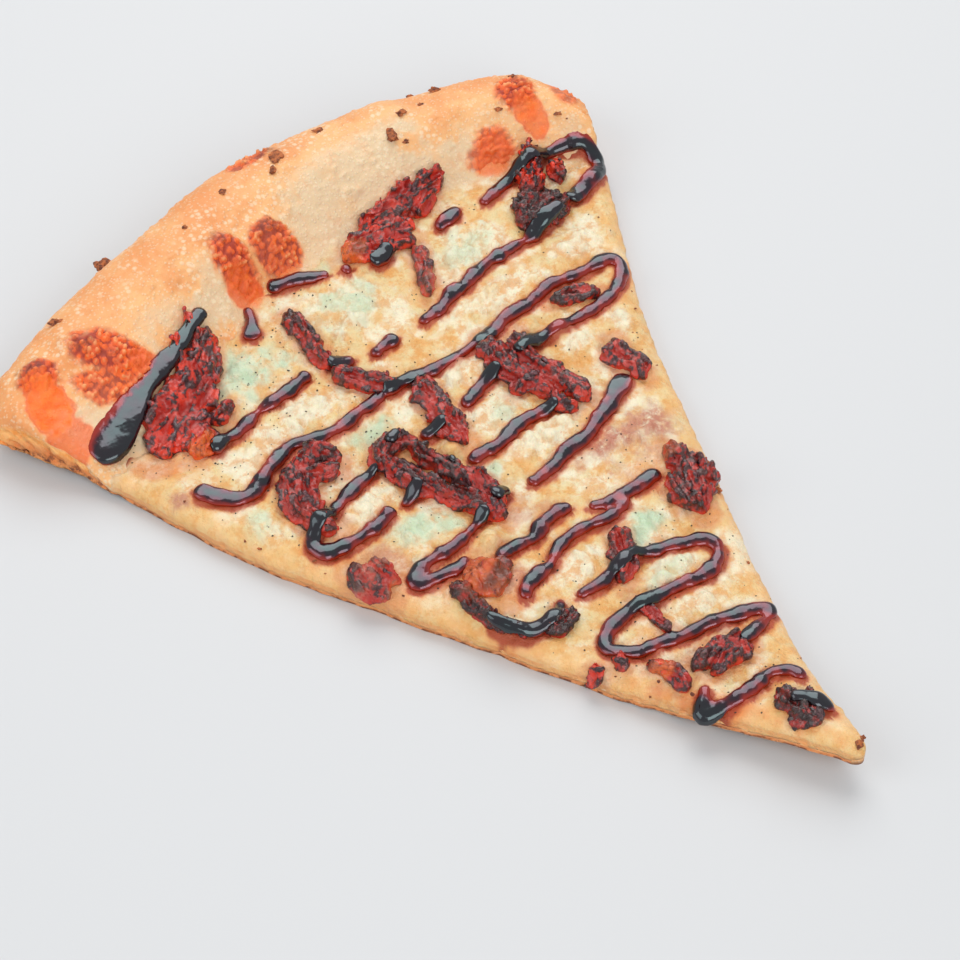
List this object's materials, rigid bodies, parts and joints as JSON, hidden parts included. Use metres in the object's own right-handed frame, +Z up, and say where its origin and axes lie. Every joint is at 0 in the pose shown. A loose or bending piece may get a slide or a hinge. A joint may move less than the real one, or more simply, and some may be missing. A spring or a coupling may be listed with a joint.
{
  "type": "pizza slice",
  "caption": "Large thin wedge slice of pizza with a blistered rim, melted cheese, dried tomato strips and a dark glaze in zigzags",
  "frame": {"origin": "middle of the slice's box, on the surface that it rests on", "axes": "+Y from the tip to the rim, +Z up, +X to the right seen from the tip"},
  "size_m": [0.1972, 0.2458, 0.0222],
  "materials": {
    "baked_dough": "matt, toasted and blistered",
    "melted_cheese": "soft satin, with strands of dark gloss glaze",
    "dried_tomato": "wrinkled, oily",
    "charred_tomato": "wrinkled, charred"
  },
  "bodies": {
    "root": {"crust": "baked_dough", "cheese": "melted_cheese", "tomato_rim_left": "dried_tomato", "tomato_fork": "dried_tomato", "tomato_fork_tail": "dried_tomato", "tomato_star": "dried_tomato", "tomato_rim_right": "dried_tomato", "tomato_ribbon": "dried_tomato", "tomato_charred": "charred_tomato", "tomato_folded": "dried_tomato", "tomato_middle": "dried_tomato", "tomato_cut_edge": "dried_tomato", "tomato_dome": "dried_tomato", "tomato_dark_strand": "charred_tomato", "tomato_dark_foot": "charred_tomato", "tomato_long": "dried_tomato", "tomato_right_strand": "dried_tomato", "tomato_right_bend": "dried_tomato", "tomato_far_edge": "dried_tomato", "tomato_heart": "dried_tomato", "tomato_thread": "dried_tomato", "tomato_tangle": "dried_tomato", "tomato_near_strand": "dried_tomato", "tomato_tip": "dried_tomato"}
  },
  "joints": []
}
